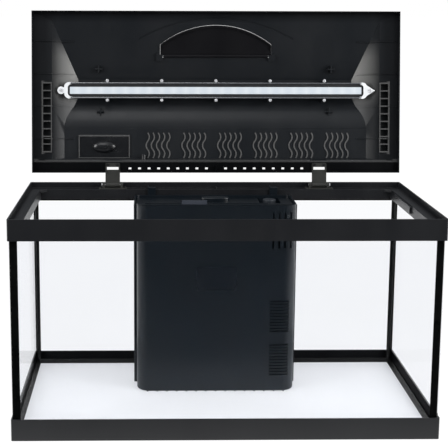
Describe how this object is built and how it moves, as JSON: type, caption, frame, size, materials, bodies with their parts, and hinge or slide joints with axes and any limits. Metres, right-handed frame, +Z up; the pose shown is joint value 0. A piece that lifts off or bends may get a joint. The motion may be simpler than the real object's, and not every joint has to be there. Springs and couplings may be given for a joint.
{
  "type": "glass aquarium tank",
  "caption": "Framed glass aquarium with a hinged hood shown open, an LED bar lamp, a feeding flap and an in-tank filter hanging on the rear rim.",
  "frame": {"origin": "centre of the bottom frame's underside, on the surface the tank stands on", "axes": "+X along the tank's length to the right, +Y to the back where the hood is hinged, +Z up"},
  "size_m": [0.616, 0.3468, 0.6059],
  "materials": {
    "tank_glass": "clear polished float glass, pale green edges",
    "black_silicone": "satin black silicone bead",
    "frame_plastic": "fine-grained black moulding",
    "hinge_plastic": "satin black moulding",
    "hood_plastic": "satin black moulding, smooth inside",
    "door_plastic": "satin black moulding",
    "steel": "zinc-plated",
    "bright_trim": "bright plated",
    "lamp_plastic": "satin black",
    "gasket_rubber": "black rubber",
    "lamp_diffuser": "frosted clear diffuser",
    "circuit_board": "white-coated aluminium board",
    "led_resin": "pale yellow resin",
    "switch_plastic": "black",
    "button_rubber": "soft-touch black",
    "filter_plastic": "satin blue-black moulding",
    "label_plastic": "gloss black plate",
    "cartridge_plastic": "dark grey grid",
    "floss": "white fibre",
    "foam": "open-cell charcoal foam",
    "pump_plastic": "dark grey",
    "magnet_plastic": "grey",
    "ceramic_shaft": "polished",
    "dial_plastic": "dark grey, ribbed rim",
    "soft_rubber": "soft rubber"
  },
  "bodies": {
    "root": {"front_glass": "tank_glass", "rear_glass": "tank_glass", "left_glass": "tank_glass", "right_glass": "tank_glass", "bottom_glass": "tank_glass", "silicone_corner_seams": "black_silicone", "silicone_floor_seam": "black_silicone", "bottom_frame": "frame_plastic", "top_frame": "frame_plastic", "hinge_base_left": "hinge_plastic", "hinge_base_right": "hinge_plastic", "hinge_pin_left": "steel", "hinge_pin_right": "steel", "hinge_base_screws": "steel"},
    "hood": {"hood_shell": "hood_plastic", "feeding_door_pin": "steel", "switch_cover": "hood_plastic", "switch_body": "switch_plastic", "lamp_power_inlet": "switch_plastic", "lamp_housing": "lamp_plastic", "lamp_gasket": "gasket_rubber", "lamp_bezel": "bright_trim", "lamp_lens": "lamp_diffuser", "led_board": "circuit_board", "led_chips": "led_resin", "lamp_bracket_left": "bright_trim", "lamp_bracket_right": "bright_trim", "lamp_screws": "steel", "hinge_leaf_left": "hinge_plastic", "hinge_leaf_right": "hinge_plastic", "hinge_leaf_screws": "steel"},
    "feeding_door": {"feeding_door": "door_plastic"},
    "switch_button": {"switch_button": "button_rubber"},
    "filter": {"filter_housing": "filter_plastic", "filter_cover": "filter_plastic", "filter_label_plate": "label_plastic", "filter_hook_left": "filter_plastic", "filter_hook_right": "filter_plastic", "bio_foam": "foam", "pump_body": "pump_plastic", "pump_cap": "pump_plastic", "impeller_shaft": "ceramic_shaft", "outlet_pipe": "pump_plastic", "pump_cord_gland": "gasket_rubber", "suction_cups": "soft_rubber"},
    "filter_lid": {"filter_lid": "filter_plastic", "filter_lid_knob": "filter_plastic"},
    "cartridge": {"cartridge_frame": "cartridge_plastic", "cartridge_floss_front": "floss", "cartridge_floss_rear": "floss"},
    "flow_dial": {"flow_dial": "dial_plastic"},
    "impeller": {"impeller": "magnet_plastic"}
  },
  "joints": [
    {"name": "hood_hinge", "type": "hinge", "parent": "root", "child": "hood", "pos_m": [0, 0.14, 0.3215], "axis": [1, 0, 0], "range_deg": [0, 97.5]},
    {"name": "feeding_door_hinge", "type": "hinge", "parent": "hood", "child": "feeding_door", "pos_m": [0, 0.18587, 0.53102], "axis": [-1, 0, 0], "range_deg": [0, 90]},
    {"name": "light_switch", "type": "slide", "parent": "hood", "child": "switch_button", "axis": [0, -0.9914, 0.1305], "range_m": [0, 0.0018], "stiffness_N_per_m": 600},
    {"name": "filter_lift_off", "type": "slide", "parent": "root", "child": "filter", "axis": [0, 0, 1], "range_m": [0, 0.005]},
    {"name": "filter_lid_lift", "type": "slide", "parent": "filter", "child": "filter_lid", "axis": [0, 0, 1], "range_m": [0, 0.006]},
    {"name": "cartridge_lift", "type": "slide", "parent": "filter", "child": "cartridge", "axis": [0, 0, 1], "range_m": [0, 0.018]},
    {"name": "flow_dial_turn", "type": "hinge", "parent": "filter", "child": "flow_dial", "pos_m": [0.084, 0.098, 0.295], "axis": [0, 0, 1], "range_deg": [0, 90]},
    {"name": "impeller_spin", "type": "hinge", "parent": "filter", "child": "impeller", "pos_m": [0.084, 0.098, 0.05], "axis": [0, 0, 1], "continuous": true}
  ]
}
